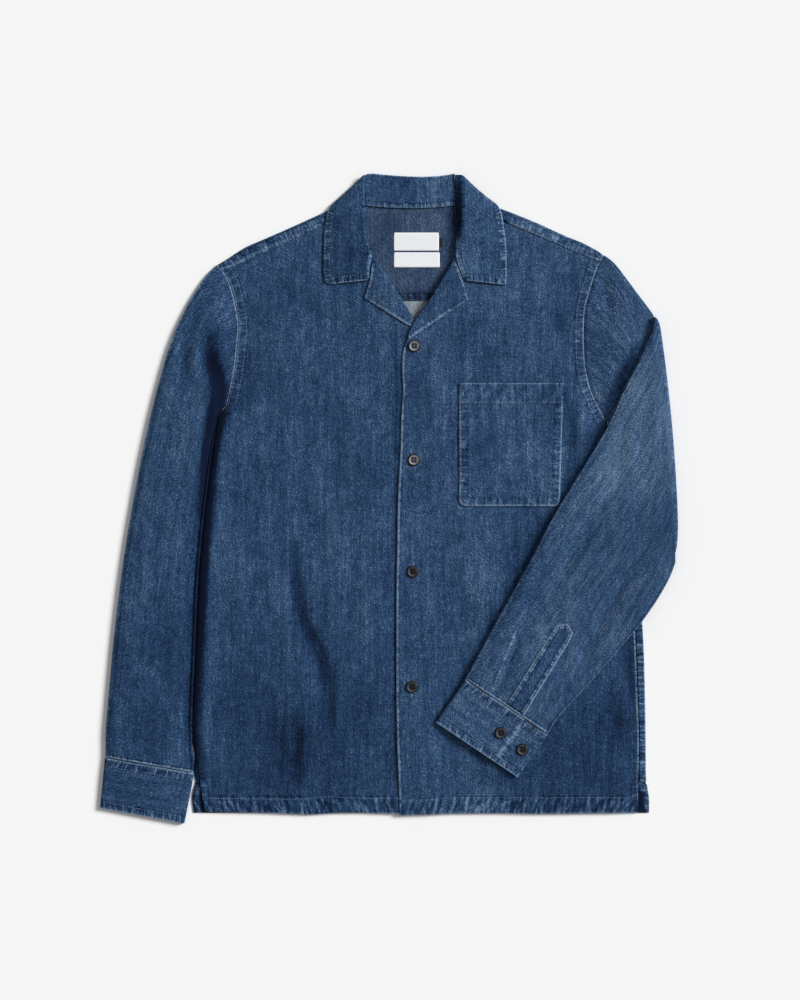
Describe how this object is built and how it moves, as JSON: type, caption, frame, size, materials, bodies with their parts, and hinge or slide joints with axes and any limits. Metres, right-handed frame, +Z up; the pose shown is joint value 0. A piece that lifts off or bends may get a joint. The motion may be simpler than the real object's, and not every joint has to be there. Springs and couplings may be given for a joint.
{
  "type": "denim shirt",
  "caption": "Long sleeved denim overshirt with a camp collar and chest pocket, laid flat on its back with one sleeve folded across the front.",
  "frame": {"origin": "middle of the laid shirt's outline, on the surface that it lies on", "axes": "+X towards the wearer's left, +Y from the hem to the collar, +Z up off the surface"},
  "size_m": [0.6906, 0.7789, 0.0134],
  "materials": {
    "denim": "washed mid blue cotton twill, matt",
    "denim_inside": "pale wrong side of the twill, matt",
    "thread": "tonal cotton topstitching",
    "label_white": "smooth woven satin",
    "label_black": "woven",
    "button": "horn look, half gloss"
  },
  "bodies": {
    "root": {"back_panel": "denim_inside", "yoke_outer": "denim", "yoke_inner": "denim", "front_right": "denim", "front_left": "denim", "lapel_right": "denim", "lapel_left": "denim", "collar_back": "denim", "collar_leaf_right": "denim", "collar_leaf_left": "denim", "sleeve_right": "denim", "sleeve_left": "denim", "cuff_right": "denim", "cuff_left": "denim", "sleeve_placket_left": "denim", "pocket": "denim", "label_main": "label_white", "label_care": "label_white", "label_size": "label_black", "button_front_1": "button", "button_front_2": "button", "button_front_3": "button", "button_front_4": "button", "button_cuff_1": "button", "button_cuff_2": "button"}
  },
  "joints": []
}
